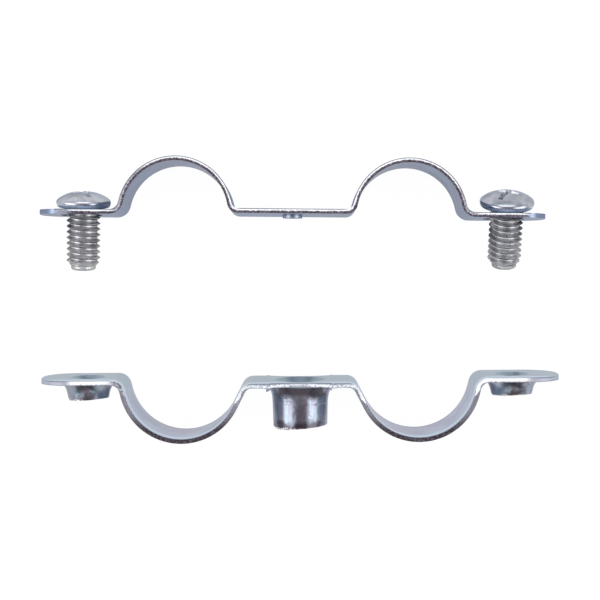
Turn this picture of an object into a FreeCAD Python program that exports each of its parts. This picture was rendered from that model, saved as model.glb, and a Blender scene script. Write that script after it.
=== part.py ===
import FreeCAD, Part
import math
import os
import Sketcher
from FreeCAD import Placement, Rotation, Vector

# Double conduit strap in zinc plated steel sheet, taken apart into its two halves.
# The cover strap has two arches and a clearance hole in each ear, with a pan head
# screw resting in each hole.  The base strap has two saddles, a drawn and tapped
# boss in its middle and a tapped collar under each ear.  Both halves lie on the
# edge of their band: X along the strap, Y from the base towards the cover, Z up.

document = FreeCAD.newDocument("double_conduit_strap")
sizes = document.addObject("Spreadsheet::Sheet", "Sizes")

driving_sizes = [
    # sheet and band, shared by both halves (lengths in mm, angles in degrees)
    ("sheet_thickness", 0.8),
    ("band_width", 13.0),
    ("ear_corner", 5.4),
    ("fixing_pitch", 73.8),
    # cover strap; bends are inside radii, a step is how far the ears lie off the middle
    ("cover_arch_spacing", 40.2),
    ("cover_arch_radius", 9.1),
    ("cover_arch_drop", 0.2),
    ("cover_middle_bend", 1.0),
    ("cover_ear_bend", 1.6),
    ("cover_ear_step", 0.35),
    ("cover_ear_overhang", 7.1),
    ("pip_diameter", 3.4),
    ("pip_height", 0.55),
    ("pip_shear", 0.1),
    # base strap; a lean is the angle of a flank from square
    ("base_arch_spacing", 40.7),
    ("base_arch_radius", 9.8),
    ("base_arch_drop", 0.38),
    ("base_middle_lean", 27.0),
    ("base_middle_bend", 1.3),
    ("base_ear_lean", 14.0),
    ("base_ear_bend", 1.5),
    ("base_ear_step", 0.7),
    ("base_ear_overhang", 8.0),
    # drawn boss with its M8 tapping bore, and the waist that drawing it pulls in
    ("boss_bore", 6.8),
    ("boss_wall", 1.5),
    ("boss_taper", 0.2),
    ("boss_height", 7.75),
    ("boss_rim_slant", 0.8),
    ("rim_allowance", 1.0),
    ("boss_root", 0.8),
    ("boss_entry", 1.0),
    ("boss_rim_bevel", 0.5),
    ("waist_depth", 1.4),
    ("nib_spacing", 11.3),
    ("nib_radius", 0.65),
    ("nib_sink", 0.15),
    ("nib_root", 0.6),
    ("nib_reach", 0.6),
    # tapped collar under each ear of the base
    ("collar_wall", 1.1),
    ("collar_taper", 0.1),
    ("left_collar_height", 3.15),
    ("right_collar_height", 2.85),
    ("collar_rim_slant", 0.5),
    ("collar_rim_bevel", 0.15),
    ("collar_root", 0.9),
    ("collar_entry", 0.5),
    # M6 pan head screw with cross and slot
    ("screw_diameter", 5.9),
    ("screw_length", 11.0),
    ("thread_engagement", 0.9),
    ("hole_clearance", 1.4),
    ("tip_diameter", 4.4),
    ("tip_length", 1.0),
    ("tip_chamfer", 0.7),
    ("head_diameter", 9.5),
    ("head_lower_bevel", 0.45),
    ("head_height", 2.8),
    ("head_edge", 1.1),
    ("slot_width", 1.2),
    ("slot_span", 6.6),
    ("slot_depth", 0.8),
    ("cross_width", 1.1),
    ("cross_span", 4.4),
    ("cross_depth", 1.7),
    # how the pieces lie
    ("left_droop", 9.0),
    ("right_droop", 19.0),
    ("left_play", 0.3),
    ("right_play", 0.48),
    ("left_lean", -0.9),
    ("right_lean", 0.0),
    ("left_slot_turn", 65.0),
    ("right_slot_turn", 118.0),
    ("contact_gap", 0.03),
    ("halves_gap", 28.26),
    ("cover_offset", -1.3),
    ("cover_turn", -0.5),
    ("base_turn", 0.45),
]
for row, (alias, value) in enumerate(driving_sizes, start=1):
    sizes.set("A%d" % row, alias)
    sizes.set("B%d" % row, str(value))
    sizes.setAlias("B%d" % row, alias)
document.recompute()


def size(alias):
    """Value of one cell of the sheet, for placing first geometry."""
    return float(sizes.get(alias))


def new_body(name):
    body = document.addObject("PartDesign::Body", name)
    body.Label = name
    return body


def origin_plane(body, role):
    return next(item for item in body.Origin.OriginFeatures if item.Role == role)


def new_sketch(body, name, role, **offsets):
    """Sketch on an origin plane of its body, moved by expressions where asked."""
    sketch = body.newObject("Sketcher::SketchObject", name)
    sketch.AttachmentSupport = [(origin_plane(body, role), "")]
    sketch.MapMode = "FlatFace"
    for axis, expression in offsets.items():
        sketch.setExpression("AttachmentOffset.Base." + axis, expression)
    return sketch


def constrain(sketch, kind, *arguments, expression=None):
    """Add a constraint and bind it to the sheet where an expression is given."""
    index = sketch.addConstraint(Sketcher.Constraint(kind, *arguments))
    if expression:
        sketch.setExpression("Constraints[%d]" % index, expression)
    return index


def outline(sketch, points):
    """Closed outline of straight lines through the points; returns their indices."""
    corners = [Vector(x, y, 0) for x, y in points]
    lines = []
    for start, end in zip(corners, corners[1:] + corners[:1]):
        lines.append(sketch.addGeometry(Part.LineSegment(start, end), False))
    for line, following in zip(lines, lines[1:] + lines[:1]):
        constrain(sketch, "Coincident", line, 2, following, 1)
    return lines


def square_up(sketch, lines):
    """Keep the lines of an outline level and upright as they were drawn."""
    for line in lines:
        segment = sketch.Geometry[line]
        run = segment.EndPoint - segment.StartPoint
        constrain(sketch, "Horizontal" if abs(run.x) > abs(run.y) else "Vertical", line)


def circle(sketch, x, y, diameter, diameter_expression):
    index = sketch.addGeometry(Part.Circle(Vector(x, y, 0), Vector(0, 0, 1), diameter / 2), False)
    constrain(sketch, "Diameter", index, diameter, expression=diameter_expression)
    return index


def edges_where(feature, test):
    """Names of the edges that pass the test; the pole of a dome has no length and is passed over."""
    numbered = enumerate(feature.Shape.Edges, 1)
    return ["Edge%d" % number for number, edge in numbered if edge.Length > 1e-6 and test(edge)]


def round_edges(body, name, radius, test):
    """Fillet the edges of the body's tip that pass the test."""
    document.recompute()
    base = body.Tip
    fillet = body.newObject("PartDesign::Fillet", name)
    fillet.Base = (base, edges_where(base, test))
    fillet.setExpression("Radius", radius)
    return fillet


def bevel_edges(body, name, width, test):
    """Even chamfer on the edges of the body's tip that pass the test."""
    document.recompute()
    base = body.Tip
    bevel = body.newObject("PartDesign::Chamfer", name)
    bevel.Base = (base, edges_where(base, test))
    bevel.setExpression("Size", width)
    return bevel


def same(first, second):
    """True for two lengths or places that differ by less than modelling error."""
    return abs(first - second) < 1e-4


def ring_edge(edge, diameter, centre_x, height):
    """True for a circle of this diameter about an upright axis, at this place."""
    curve = edge.Curve
    return (
        isinstance(curve, Part.Circle)
        and same(curve.Radius, diameter / 2)
        and same(abs(curve.Axis.y), 1)
        and same(curve.Center.x, centre_x)
        and same(curve.Center.y, height)
    )


def cut_through(body, name, sketch):
    """Pocket right through in both directions; it must take something away."""
    document.recompute()
    before = body.Tip.Shape.Volume
    pocket = body.newObject("PartDesign::Pocket", name)
    pocket.Profile = sketch
    pocket.Type = "ThroughAll"
    pocket.Midplane = True
    document.recompute()
    if pocket.Shape.Volume > before - 1e-3:
        raise ValueError(name + " cuts nothing")
    return pocket


class FoldedPath:
    """Straight runs and bends drawn one after another, each tangent to the last."""

    def __init__(self, sketch, start):
        self.sketch = sketch
        self.point = start
        self.heading = 0.0
        self.last = None

    def join(self, index, entry, leave):
        if self.last is not None:
            constrain(self.sketch, "Tangent", self.last[0], self.last[1], index, entry)
        self.last = (index, leave)
        return index

    def run(self, length):
        end = self.point + Vector(math.cos(self.heading), math.sin(self.heading), 0) * length
        falling = self.heading < -1e-6
        ends = (end, self.point) if falling else (self.point, end)
        index = self.sketch.addGeometry(Part.LineSegment(*ends), False)
        self.point = end
        return self.join(index, 2 if falling else 1, 1 if falling else 2)

    def bend(self, radius, angle):
        side = 1 if angle > 0 else -1
        centre = self.point + Vector(-math.sin(self.heading), math.cos(self.heading), 0) * side * radius
        start = self.heading - side * math.pi / 2
        end = start + angle
        arc = Part.ArcOfCircle(Part.Circle(centre, Vector(0, 0, 1), radius), min(start, end), max(start, end))
        index = self.sketch.addGeometry(arc, False)
        self.heading += angle
        self.point = centre + Vector(math.cos(end), math.sin(end), 0) * radius
        return self.join(index, 1 if side > 0 else 2, 2 if side > 0 else 1)


def fold_angle(lean, arch_radius, bend_radius, rise):
    """Angle that a bend turns through: up to a leaning flank, or straight into the arch."""
    if lean:
        return math.radians(90 - size(lean))
    return math.acos((rise + bend_radius) / (arch_radius + bend_radius))


def flank_length(angle, arch_radius, bend_radius, rise):
    """Straight length between a bend and the arch."""
    climb = arch_radius * math.cos(angle) - bend_radius * (1 - math.cos(angle)) - rise
    return climb / math.sin(angle)


def half_strap(body, half, middle_lean=None, ear_lean=None):
    """Sweep the band's section along one half of its folded centre line.

    The middle's underside lies on y = 0 and the arch rises towards +Y.
    """
    thickness = size("sheet_thickness")
    width = size("band_width")
    section = new_sketch(body, body.Name + "_section", "YZ_Plane")
    lines = outline(section, [(0, 0), (thickness, 0), (thickness, width), (0, width)])
    square_up(section, lines)
    constrain(section, "Coincident", lines[0], 1, -1, 1)
    constrain(section, "DistanceX", lines[0], 1, lines[0], 2, thickness, expression="Sizes.sheet_thickness")
    constrain(section, "DistanceY", lines[1], 1, lines[1], 2, width, expression="Sizes.band_width")

    arch = size(half + "_arch_radius") + thickness / 2
    middle_bend = size(half + "_middle_bend") + thickness / 2
    ear_bend = size(half + "_ear_bend") + thickness / 2
    drop = size(half + "_arch_drop")
    step = size(half + "_ear_step")
    centre_x = size(half + "_arch_spacing") / 2
    ear_end = size("fixing_pitch") / 2 + size(half + "_ear_overhang")
    middle_rise = drop + thickness / 2
    ear_rise = middle_rise - step
    middle_angle = fold_angle(middle_lean, arch, middle_bend, middle_rise)
    ear_angle = fold_angle(ear_lean, arch, ear_bend, ear_rise)
    middle_flank = flank_length(middle_angle, arch, middle_bend, middle_rise)
    ear_flank = flank_length(ear_angle, arch, ear_bend, ear_rise)
    middle_reach = (arch + middle_bend) * math.sin(middle_angle) + middle_flank * math.cos(middle_angle)
    ear_reach = (arch + ear_bend) * math.sin(ear_angle) + ear_flank * math.cos(ear_angle)
    middle_run = centre_x - middle_reach
    ear_start = centre_x + ear_reach

    centre_line = new_sketch(body, body.Name + "_centre_line", "XY_Plane")
    path = FoldedPath(centre_line, Vector(0, thickness / 2, 0))
    middle = path.run(middle_run)
    first_bend = path.bend(middle_bend, middle_angle)
    if middle_lean:
        flank = path.run(middle_flank)
        constrain(centre_line, "Angle", flank, middle_angle, expression="90 - Sizes." + middle_lean)
    arch_arc = path.bend(arch, -middle_angle - ear_angle)
    if ear_lean:
        flank = path.run(ear_flank)
        constrain(centre_line, "Angle", flank, math.pi - ear_angle, expression="90 + Sizes." + ear_lean)
    last_bend = path.bend(ear_bend, ear_angle)
    path.heading = 0.0
    ear = path.run(ear_end - ear_start)
    constrain(centre_line, "Horizontal", middle)
    constrain(centre_line, "Horizontal", ear)
    constrain(centre_line, "PointOnObject", middle, 1, -2)
    half_thickness = "Sizes.sheet_thickness / 2"
    constrain(centre_line, "DistanceY", -1, 1, middle, 1, thickness / 2, expression=half_thickness)
    bends = (
        (first_bend, "middle_bend", middle_bend),
        (arch_arc, "arch_radius", arch),
        (last_bend, "ear_bend", ear_bend),
    )
    for arc, alias, radius in bends:
        expression = "Sizes.%s_%s + Sizes.sheet_thickness / 2" % (half, alias)
        constrain(centre_line, "Radius", arc, radius, expression=expression)
    spacing = "Sizes.%s_arch_spacing / 2" % half
    constrain(centre_line, "DistanceX", -1, 1, arch_arc, 3, centre_x, expression=spacing)
    constrain(centre_line, "DistanceY", arch_arc, 3, -1, 1, drop, expression="Sizes.%s_arch_drop" % half)
    constrain(centre_line, "DistanceY", ear, 2, middle, 1, step, expression="Sizes.%s_ear_step" % half)
    overhang = "Sizes.fixing_pitch / 2 + Sizes.%s_ear_overhang" % half
    constrain(centre_line, "DistanceX", -1, 1, ear, 2, ear_end, expression=overhang)
    document.recompute()

    sweep = body.newObject("PartDesign::AdditivePipe", body.Name + "_band")
    sweep.Profile = section
    sweep.Spine = (centre_line, [])

    def at_ear_end(edge):
        return all(same(vertex.X, ear_end) for vertex in edge.Vertexes)

    return round_edges(
        body,
        body.Name + "_ear_corners",
        "Sizes.ear_corner",
        lambda edge: at_ear_end(edge) and same(edge.Length, thickness),
    )


def mirror_half(body):
    """Second half of the strap, mirrored about its middle."""
    document.recompute()
    mirrored = body.newObject("PartDesign::Mirrored", body.Name + "_both_halves")
    mirrored.TransformMode = "Whole shape"
    mirrored.MirrorPlane = (origin_plane(body, "YZ_Plane"), [""])
    body.Tip = mirrored
    document.recompute()
    return mirrored


def centred_hole(body, name, x_expression, diameter, diameter_expression):
    """Round hole through the sheet, on the middle line of the band."""
    offset = {"x": x_expression, "y": "Sizes.band_width / 2"}
    sketch = new_sketch(body, name + "_outline", "XZ_Plane", **offset)
    ring = circle(sketch, 0, 0, diameter, diameter_expression)
    constrain(sketch, "Coincident", ring, 3, -1, 1)
    return cut_through(body, name, sketch)


def drawn_neck(body, name, kind, side, step, bore, bore_expression):
    """Neck drawn out of the sheet on its +Y side, revolved about its own axis and bored.

    side is -1 or 1 for an ear and 0 for the middle; step names the cell that says
    how far below the middle that stretch of sheet lies.
    """
    thickness = size("sheet_thickness")
    wall = size(kind + "_wall")
    root = size(kind + "_root")
    taper = size(kind + "_taper")
    bevel = size(kind + "_rim_bevel")
    height = size(name + "_height")
    inner = bore / 2
    outer = inner + wall
    rim_y = thickness + height
    centre_x = side * size("fixing_pitch") / 2
    face_y = -size(step) if step else 0.0
    place = {
        "x": "%d * Sizes.fixing_pitch / 2" % side,
        "y": "-Sizes." + step if step else "0",
        "z": "Sizes.band_width / 2",
    }
    corners = {
        "base": (inner, 0),
        "skirt": (outer + root, 0),
        "flare": (outer + root, thickness),
        "side": (outer, thickness + root),
        "shoulder": (outer - taper, rim_y - bevel),
        "rim": (outer - taper - bevel, rim_y),
        "mouth": (inner, rim_y),
    }
    corners = {corner: Vector(x, y, 0) for corner, (x, y) in corners.items()}
    sketch = new_sketch(body, name + "_section", "XY_Plane", **place)
    base = sketch.addGeometry(Part.LineSegment(corners["base"], corners["skirt"]), False)
    skirt = sketch.addGeometry(Part.LineSegment(corners["skirt"], corners["flare"]), False)
    root_circle = Part.Circle(Vector(outer + root, thickness + root, 0), Vector(0, 0, 1), root)
    flare = sketch.addGeometry(Part.ArcOfCircle(root_circle, math.pi, 3 * math.pi / 2), False)
    flank = sketch.addGeometry(Part.LineSegment(corners["side"], corners["shoulder"]), False)
    lip = sketch.addGeometry(Part.LineSegment(corners["shoulder"], corners["rim"]), False)
    rim = sketch.addGeometry(Part.LineSegment(corners["rim"], corners["mouth"]), False)
    inside = sketch.addGeometry(Part.LineSegment(corners["mouth"], corners["base"]), False)
    constrain(sketch, "Coincident", base, 2, skirt, 1)
    constrain(sketch, "Coincident", skirt, 2, flare, 2)
    constrain(sketch, "Coincident", flare, 1, flank, 1)
    constrain(sketch, "Coincident", flank, 2, lip, 1)
    constrain(sketch, "Coincident", lip, 2, rim, 1)
    constrain(sketch, "Coincident", rim, 2, inside, 1)
    constrain(sketch, "Coincident", inside, 2, base, 1)
    square_up(sketch, [base, skirt, rim, inside])
    constrain(sketch, "Horizontal", flare, 3, flare, 1)
    constrain(sketch, "Vertical", flare, 3, flare, 2)
    constrain(sketch, "PointOnObject", base, 1, -1)
    constrain(sketch, "DistanceX", -1, 1, base, 1, inner, expression="(%s) / 2" % bore_expression)
    constrain(sketch, "DistanceX", base, 1, flank, 1, wall, expression="Sizes.%s_wall" % kind)
    constrain(sketch, "Radius", flare, root, expression="Sizes.%s_root" % kind)
    constrain(sketch, "DistanceY", base, 1, flare, 2, thickness, expression="Sizes.sheet_thickness")
    reach = "Sizes.sheet_thickness + Sizes.%s_height" % name
    constrain(sketch, "DistanceY", base, 1, rim, 2, rim_y, expression=reach)
    constrain(sketch, "DistanceX", flank, 2, flank, 1, taper, expression="Sizes.%s_taper" % kind)
    constrain(sketch, "DistanceX", lip, 2, lip, 1, bevel, expression="Sizes.%s_rim_bevel" % kind)
    constrain(sketch, "DistanceY", lip, 1, lip, 2, bevel, expression="Sizes.%s_rim_bevel" % kind)
    document.recompute()
    revolved = body.newObject("PartDesign::Revolution", name)
    revolved.Profile = sketch
    revolved.ReferenceAxis = (sketch, ["V_Axis"])
    revolved.Angle = 360.0
    document.recompute()
    centred_hole(body, name + "_bore", place["x"], bore, bore_expression)
    entry = "Sizes.%s_entry" % kind
    bevel_edges(body, name + "_entry", entry, lambda edge: ring_edge(edge, bore, centre_x, face_y))

    # the drawn rim is left as it tore, lower at one side
    slant = size(kind + "_rim_slant")
    allowance = size("rim_allowance")
    tear = new_sketch(body, name + "_tear_outline", "XY_Plane", x=place["x"], y=place["y"])
    clear_y = rim_y + allowance
    lines = outline(tear, [(-outer, rim_y), (outer, rim_y - slant), (outer, clear_y), (-outer, clear_y)])
    square_up(tear, lines[1:])
    outer_expression = "(%s) / 2 + Sizes.%s_wall" % (bore_expression, kind)
    constrain(tear, "DistanceX", lines[0], 1, -1, 1, outer, expression=outer_expression)
    constrain(tear, "DistanceX", -1, 1, lines[0], 2, outer, expression=outer_expression)
    constrain(tear, "DistanceY", -1, 1, lines[0], 1, rim_y, expression=reach)
    constrain(tear, "DistanceY", lines[0], 2, lines[0], 1, slant, expression="Sizes.%s_rim_slant" % kind)
    constrain(tear, "DistanceY", lines[0], 1, lines[3], 1, allowance, expression="Sizes.rim_allowance")
    cut_through(body, name + "_tear", tear)


def make_cover_strap():
    """Cover strap: two plain arches, a clearance hole in each ear, a pip under the middle."""
    body = new_body("cover_strap")
    half_strap(body, "cover")
    hole = size("screw_diameter") + size("hole_clearance")
    hole_expression = "Sizes.screw_diameter + Sizes.hole_clearance"
    centred_hole(body, "cover_hole", "Sizes.fixing_pitch / 2", hole, hole_expression)
    mirror_half(body)

    # the pip is pushed half through: a stud below, and the punch's print above
    below = new_sketch(body, "pip_outline", "XZ_Plane", y="Sizes.band_width / 2")
    ring = circle(below, 0, 0, size("pip_diameter"), "Sizes.pip_diameter")
    constrain(below, "Coincident", ring, 3, -1, 1)
    pip = body.newObject("PartDesign::Pad", "pip")
    pip.Profile = below
    pip.setExpression("Length", "Sizes.pip_height")
    document.recompute()
    print_above = new_sketch(
        body, "pip_print_outline", "XZ_Plane", y="Sizes.band_width / 2", z="-Sizes.sheet_thickness"
    )
    punch = size("pip_diameter") - 2 * size("pip_shear")
    ring = circle(print_above, 0, 0, punch, "Sizes.pip_diameter - 2 * Sizes.pip_shear")
    constrain(print_above, "Coincident", ring, 3, -1, 1)
    before = body.Shape.Volume
    pip_print = body.newObject("PartDesign::Pocket", "pip_print")
    pip_print.Profile = print_above
    pip_print.Reversed = True
    pip_print.setExpression("Length", "Sizes.pip_height")
    document.recompute()
    if body.Shape.Volume > before - 1e-3:
        raise ValueError("pip_print cuts nothing")
    return body


def pad_discs(body, name, places, diameter, diameter_expression, start, length):
    """Short round studs along Z, standing at the given (x, y) expressions."""
    sketch = new_sketch(body, name + "_outline", "XY_Plane", z=start)
    for sign in (-1, 1):
        disc = circle(sketch, sign * places["x"], places["y"], diameter, diameter_expression)
        ends = (disc, 3, -1, 1) if sign < 0 else (-1, 1, disc, 3)
        constrain(sketch, "DistanceX", *ends, places["x"], expression=places["x_expression"])
        constrain(sketch, "DistanceY", -1, 1, disc, 3, places["y"], expression=places["y_expression"])
    pad = body.newObject("PartDesign::Pad", name)
    pad.Profile = sketch
    pad.setExpression("Length", length)
    document.recompute()
    return pad


def make_base_strap():
    """Base strap: two saddles, the drawn boss, and a tapped collar behind each ear."""
    body = new_body("base_strap")
    half_strap(body, "base", middle_lean="base_middle_lean", ear_lean="base_ear_lean")
    tapping = size("screw_diameter") - size("thread_engagement")
    tapping_expression = "Sizes.screw_diameter - Sizes.thread_engagement"
    mirror_half(body)
    drawn_neck(body, "left_collar", "collar", -1, "base_ear_step", tapping, tapping_expression)
    drawn_neck(body, "right_collar", "collar", 1, "base_ear_step", tapping, tapping_expression)
    drawn_neck(body, "boss", "boss", 0, None, size("boss_bore"), "Sizes.boss_bore")

    # drawing the boss pulls both edges of the band in beside it
    half_chord = size("nib_spacing") / 2
    depth = size("waist_depth")
    bow = (half_chord**2 + depth**2) / (2 * depth)
    waist = new_sketch(body, "waist_outline", "XZ_Plane")
    bow_expression = "(Sizes.nib_spacing ^ 2 / 4 + Sizes.waist_depth ^ 2) / Sizes.waist_depth"
    inner = circle(waist, 0, depth - bow, 2 * bow, bow_expression)
    outer = circle(waist, 0, size("band_width") - depth + bow, 2 * bow, bow_expression)
    for ring in (inner, outer):
        constrain(waist, "PointOnObject", ring, 3, -2)
    below = bow_expression + " / 2 - Sizes.waist_depth"
    constrain(waist, "DistanceY", inner, 3, -1, 1, bow - depth, expression=below)
    above = "Sizes.band_width + " + below
    constrain(waist, "DistanceY", -1, 1, outer, 3, size("band_width") + bow - depth, expression=above)
    cut_through(body, "waist", waist)

    # remains of the tabs that held the blank in its strip, one at each end of the waist
    sunk = size("sheet_thickness") - size("nib_sink")
    places = {
        "x": half_chord,
        "x_expression": "Sizes.nib_spacing / 2",
        "y": sunk,
        "y_expression": "Sizes.sheet_thickness - Sizes.nib_sink",
    }
    nib = (2 * size("nib_radius"), "2 * Sizes.nib_radius")
    length = "Sizes.nib_reach + Sizes.nib_root"
    pad_discs(body, "lower_nibs", places, *nib, "-Sizes.nib_reach", length)
    pad_discs(body, "upper_nibs", places, *nib, "Sizes.band_width - Sizes.nib_root", length)

    return body


def make_screw(name, slot_turn):
    """Pan head screw standing on the underside of its head, axis along Y, head at +Y."""
    body = new_body(name)
    shank = size("screw_diameter") / 2
    tip = size("tip_diameter") / 2
    head = size("head_diameter") / 2
    length = size("screw_length")
    chamfer_y = size("tip_length") - length
    points = [
        (0, size("head_height")),
        (0, -length),
        (tip, -length),
        (tip, chamfer_y),
        (shank, chamfer_y + size("tip_chamfer")),
        (shank, 0),
        (head, 0),
        (head, size("head_edge")),
    ]
    corners = [Vector(x, y, 0) for x, y in points]
    profile = new_sketch(body, name + "_profile", "XY_Plane")
    lines = []
    for start, end in zip(corners[:-1], corners[1:]):
        lines.append(profile.addGeometry(Part.LineSegment(start, end), False))
    rise = size("head_height") - size("head_edge")
    dome = (head**2 + rise**2) / (2 * rise)
    centre_y = size("head_height") - dome
    dome_circle = Part.Circle(Vector(0, centre_y, 0), Vector(0, 0, 1), dome)
    start_angle = math.atan2(size("head_edge") - centre_y, head)
    crown = profile.addGeometry(Part.ArcOfCircle(dome_circle, start_angle, math.pi / 2), False)
    for line, following in zip(lines[:-1], lines[1:]):
        constrain(profile, "Coincident", line, 2, following, 1)
    constrain(profile, "Coincident", lines[-1], 2, crown, 1)
    constrain(profile, "Coincident", crown, 2, lines[0], 1)
    axis, end, tip_side, chamfer, side, face, flank = lines
    square_up(profile, [axis, end, tip_side, side, face, flank])
    constrain(profile, "PointOnObject", axis, 1, -2)
    constrain(profile, "PointOnObject", crown, 3, -2)
    constrain(profile, "PointOnObject", face, 2, -1)
    constrain(profile, "DistanceY", -1, 1, axis, 1, size("head_height"), expression="Sizes.head_height")
    constrain(profile, "DistanceY", axis, 2, -1, 1, length, expression="Sizes.screw_length")
    constrain(profile, "DistanceX", -1, 1, tip_side, 1, tip, expression="Sizes.tip_diameter / 2")
    for line, alias in ((tip_side, "tip_length"), (chamfer, "tip_chamfer")):
        constrain(profile, "DistanceY", line, 1, line, 2, size(alias), expression="Sizes." + alias)
    constrain(profile, "DistanceX", -1, 1, side, 1, shank, expression="Sizes.screw_diameter / 2")
    constrain(profile, "DistanceX", -1, 1, flank, 2, head, expression="Sizes.head_diameter / 2")
    constrain(profile, "DistanceY", -1, 1, flank, 2, size("head_edge"), expression="Sizes.head_edge")
    document.recompute()
    turned = body.newObject("PartDesign::Revolution", name + "_turned")
    turned.Profile = profile
    turned.ReferenceAxis = (profile, ["V_Axis"])
    turned.Angle = 360.0
    document.recompute()

    lower_rim = name + "_lower_rim"
    bevel_edges(body, lower_rim, "Sizes.head_lower_bevel", lambda edge: ring_edge(edge, 2 * head, 0, 0))
    document.recompute()

    # a shallow slot across the head, and a cross sunk deeper in its middle
    recesses = [("slot", "slot", 0), ("cross", "cross", 0), ("cross_over", "cross", 90)]
    for cut, kind, quarter in recesses:
        long_half = size(kind + "_span") / 2
        short_half = size(kind + "_width") / 2
        sketch = new_sketch(body, "%s_%s_outline" % (name, cut), "XZ_Plane", z="-Sizes.head_height")
        sketch.setExpression("AttachmentOffset.Rotation.Angle", "%s + %d" % (slot_turn, quarter))
        lines = outline(
            sketch,
            [
                (-long_half, -short_half),
                (long_half, -short_half),
                (long_half, short_half),
                (-long_half, short_half),
            ],
        )
        square_up(sketch, lines)
        constrain(sketch, "Symmetric", lines[0], 1, lines[1], 2, -1, 1)
        constrain(sketch, "DistanceX", -1, 1, lines[0], 2, long_half, expression="Sizes.%s_span / 2" % kind)
        constrain(sketch, "DistanceY", -1, 1, lines[1], 2, short_half, expression="Sizes.%s_width / 2" % kind)
        before = body.Shape.Volume
        recess = body.newObject("PartDesign::Pocket", "%s_%s" % (name, cut))
        recess.Profile = sketch
        recess.Reversed = True
        recess.setExpression("Length", "Sizes.%s_depth" % kind)
        document.recompute()
        if body.Shape.Volume > before - 1e-3:
            raise ValueError(recess.Name + " cuts nothing")
    return body


def turned_about(axis, angle):
    return Placement(Vector(0, 0, 0), Rotation(axis, angle))


def moved(x, y, z):
    return Placement(Vector(x, y, z), Rotation())


def bounds(bodies):
    box = FreeCAD.BoundBox()
    for body in bodies:
        box.add(body.Shape.optimalBoundingBox(False, False))
    return box


def lay_out(cover, base, screws):
    """Lay both halves on their edges, then drop each screw into its hole."""
    thickness = size("sheet_thickness")
    width = size("band_width")
    along = Vector(1, 0, 0)
    up = Vector(0, 0, 1)

    opposite = moved(size("cover_offset"), size("halves_gap"), 0)
    cover.Placement = opposite * turned_about(up, size("cover_turn"))

    # the base rests on its saddles and on the nibs beside its boss, so it rolls a little
    saddle_y = size("base_arch_radius") - size("base_arch_drop") + thickness
    nib_y = thickness - size("nib_sink")
    roll = math.degrees(math.asin(size("nib_reach") / (saddle_y - nib_y)))
    turned_over = turned_about(along, 180 + roll)
    base.Placement = turned_about(up, size("base_turn")) * turned_over * moved(0, 0, -width)
    base.Placement = moved(0, 0, -bounds([base]).ZMin) * base.Placement

    # a screw tips until its shank meets the hole's lower lip and its head the ear
    gap = size("contact_gap")
    hole = (size("screw_diameter") + size("hole_clearance")) / 2
    bearing = size("head_diameter") / 2 - size("head_lower_bevel")
    for screw, hand, side in screws:
        droop = size(hand + "_droop")
        play = size(hand + "_play")
        tilt = math.radians(droop)
        head_lift = bearing * math.sin(tilt) + gap
        shank_reach = size("screw_diameter") / 2 / math.cos(tilt)
        drop = math.sqrt(max(0.0, (hole - shank_reach) ** 2 - play**2))
        settle = (head_lift + thickness) * math.tan(tilt) + gap - drop
        ear_top = thickness - size("cover_ear_step")
        seat = moved(side * size("fixing_pitch") / 2 + play, ear_top + head_lift, width / 2 + settle)
        leaning = turned_about(up, size(hand + "_lean"))
        screw.Placement = cover.Placement * seat * leaning * turned_about(along, droop)

    # the origin is the middle of the floor under everything
    pieces = [cover, base] + [screw for screw, hand, side in screws]
    box = bounds(pieces)
    centre = moved(-(box.XMin + box.XMax) / 2, -(box.YMin + box.YMax) / 2, -box.ZMin)
    for piece in pieces:
        piece.Placement = centre * piece.Placement
    document.recompute()
    return pieces


def write_parts(pieces):
    for item in document.Objects:
        if "Invalid" in item.State or "Error" in item.State:
            raise ValueError("%s failed: %s" % (item.Name, item.State))
    os.makedirs("parts", exist_ok=True)
    for piece in pieces:
        shape = piece.Shape
        if shape.isNull() or not shape.isValid() or len(shape.Solids) != 1:
            raise ValueError(piece.Label + " is not one valid solid")
        shape.exportStep("parts/%s.step" % piece.Label)
        print("%-12s %9.2f mm3  %s" % (piece.Label, shape.Volume, shape.BoundBox))


cover_strap = make_cover_strap()
base_strap = make_base_strap()
screw_left = make_screw("screw_left", "Sizes.left_slot_turn")
screw_right = make_screw("screw_right", "Sizes.right_slot_turn")
write_parts(lay_out(cover_strap, base_strap, [(screw_left, "left", -1), (screw_right, "right", 1)]))
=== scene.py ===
import math

import bmesh
import bpy
from mathutils import Matrix, Vector


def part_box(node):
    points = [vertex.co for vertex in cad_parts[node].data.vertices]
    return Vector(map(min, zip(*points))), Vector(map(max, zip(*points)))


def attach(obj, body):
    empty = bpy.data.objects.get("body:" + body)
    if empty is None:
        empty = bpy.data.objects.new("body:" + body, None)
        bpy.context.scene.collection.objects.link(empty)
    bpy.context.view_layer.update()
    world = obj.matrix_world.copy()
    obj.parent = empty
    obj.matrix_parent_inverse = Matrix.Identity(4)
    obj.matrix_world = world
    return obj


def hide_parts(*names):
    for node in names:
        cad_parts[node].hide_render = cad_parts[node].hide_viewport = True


# Double conduit strap: a cover strap with two pan head screws, and a base strap with a
# drawn boss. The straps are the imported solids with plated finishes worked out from
# where each point lies on the sheet; the screws are turned and threaded here.

mm = 0.001

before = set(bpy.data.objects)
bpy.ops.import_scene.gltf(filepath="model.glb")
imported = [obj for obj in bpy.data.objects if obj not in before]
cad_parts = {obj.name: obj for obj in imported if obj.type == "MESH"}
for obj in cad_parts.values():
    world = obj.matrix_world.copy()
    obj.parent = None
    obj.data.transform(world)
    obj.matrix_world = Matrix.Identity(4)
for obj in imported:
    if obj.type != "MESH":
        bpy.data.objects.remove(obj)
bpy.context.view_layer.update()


def linearColour(code):
    # sRGB hex to the linear colour that shaders work in
    channels = [int(code[i:i + 2], 16) / 255 for i in (1, 3, 5)]
    return [c / 12.92 if c <= 0.04045 else ((c + 0.055) / 1.055) ** 2.4 for c in channels] + [1.0]


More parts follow.
